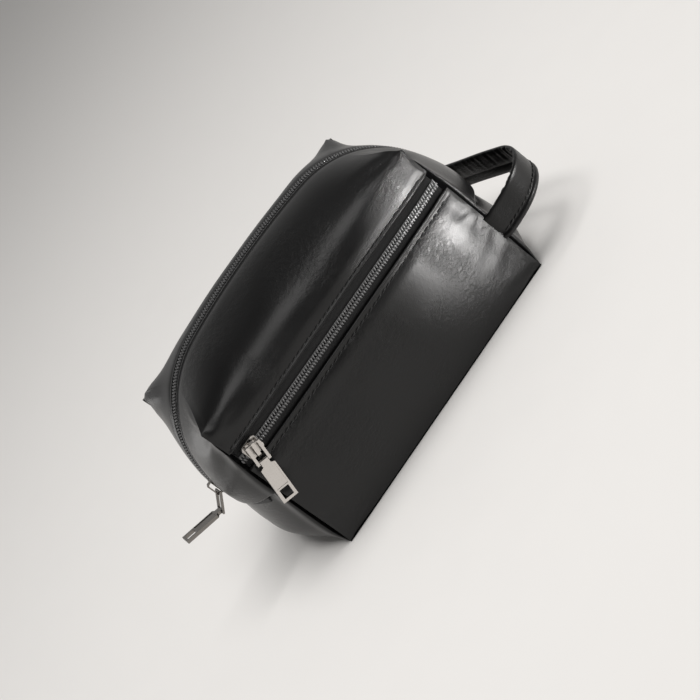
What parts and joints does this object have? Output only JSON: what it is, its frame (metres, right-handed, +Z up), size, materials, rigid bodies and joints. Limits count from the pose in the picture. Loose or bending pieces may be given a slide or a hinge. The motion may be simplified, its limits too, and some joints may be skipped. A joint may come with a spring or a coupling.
{
  "type": "shaving kit bag",
  "caption": "Boxed-corner shaving kit bag in black smooth leather, with a zip over the top and both ends, a zipped front pocket and a side carrying strap.",
  "frame": {"origin": "centre of the base, on the surface it stands on", "axes": "+Z up, +X along the bag towards the end with the strap, -Y towards the front face with the zipped pocket"},
  "size_m": [0.3675, 0.1509, 0.1663],
  "materials": {
    "leather": "smooth, semi-gloss, fine grain",
    "padding": "closed-cell foam sheet",
    "board": "matt stiffener board",
    "binding": "woven binding tape",
    "lining": "plain woven polyester",
    "zip_tape": "herringbone woven tape",
    "zip_coil": "nylon coil, slight sheen",
    "thread": "bonded thread",
    "webbing": "woven webbing",
    "zip_metal": "nickel plated, polished"
  },
  "bodies": {
    "bag": {"front_panel": "leather", "top_front_panel": "leather", "rear_panel": "leather", "base_panel": "leather", "front_padding": "padding", "rear_padding": "padding", "base_board": "board", "corner_seam_bindings": "binding", "end_seam_bindings": "binding", "pocket_bag": "lining", "lining": "lining", "main_zip_tape_front": "zip_tape", "main_zip_tape_rear": "zip_tape", "main_zip_coil_front": "zip_coil", "main_zip_coil_rear": "zip_coil", "pocket_zip_tape_upper": "zip_tape", "pocket_zip_tape_lower": "zip_tape", "pocket_zip_coil_upper": "zip_coil", "pocket_zip_coil_lower": "zip_coil", "pocket_stitching_upper": "thread", "pocket_stitching_lower": "thread", "handle_seam_tabs": "leather"},
    "main_slider": {"main_slider_body": "zip_metal", "main_slider_bail": "zip_metal"},
    "main_link": {"main_pull_link": "zip_metal", "main_pull_pin": "zip_metal"},
    "main_plate": {"main_pull_plate": "zip_metal"},
    "pocket_slider": {"pocket_slider_body": "zip_metal", "pocket_slider_bail": "zip_metal"},
    "pocket_link": {"pocket_pull_link": "zip_metal", "pocket_pull_pin": "zip_metal"},
    "pocket_plate": {"pocket_pull_plate": "zip_metal"},
    "handle": {"handle_strap": "leather", "handle_core": "webbing"}
  },
  "joints": [
    {"name": "main_slider_travel", "type": "hinge", "parent": "bag", "child": "main_slider", "pos_m": [-0.0575, 0, 0.08], "axis": [0, 1, 0], "range_deg": [0, 76]},
    {"name": "main_link_swing", "type": "hinge", "parent": "main_slider", "child": "main_link", "pos_m": [-0.14389, 0, 0.07751], "axis": [0, 1, 0], "range_deg": [-30, 75]},
    {"name": "main_plate_swing", "type": "hinge", "parent": "main_link", "child": "main_plate", "pos_m": [-0.15365, 0, 0.06775], "axis": [0, 1, 0], "range_deg": [-75, 20]},
    {"name": "pocket_slider_travel", "type": "slide", "parent": "bag", "child": "pocket_slider", "axis": [1, 0, 0], "range_m": [0, 0.212]},
    {"name": "pocket_link_swing", "type": "hinge", "parent": "pocket_slider", "child": "pocket_link", "pos_m": [-0.10489, -0.07432, 0.10677], "axis": [-0.9537, 0.0128, 0.3004], "range_deg": [0, 100]},
    {"name": "pocket_plate_swing", "type": "hinge", "parent": "pocket_link", "child": "pocket_plate", "pos_m": [-0.10904, -0.07488, 0.09363], "axis": [-0.9537, 0.0128, 0.3004], "range_deg": [0, 70]},
    {"name": "handle_swing", "type": "hinge", "parent": "bag", "child": "handle", "pos_m": [0.121, 0, 0.0465], "axis": [0, 1, 0], "range_deg": [-40, 36]}
  ]
}
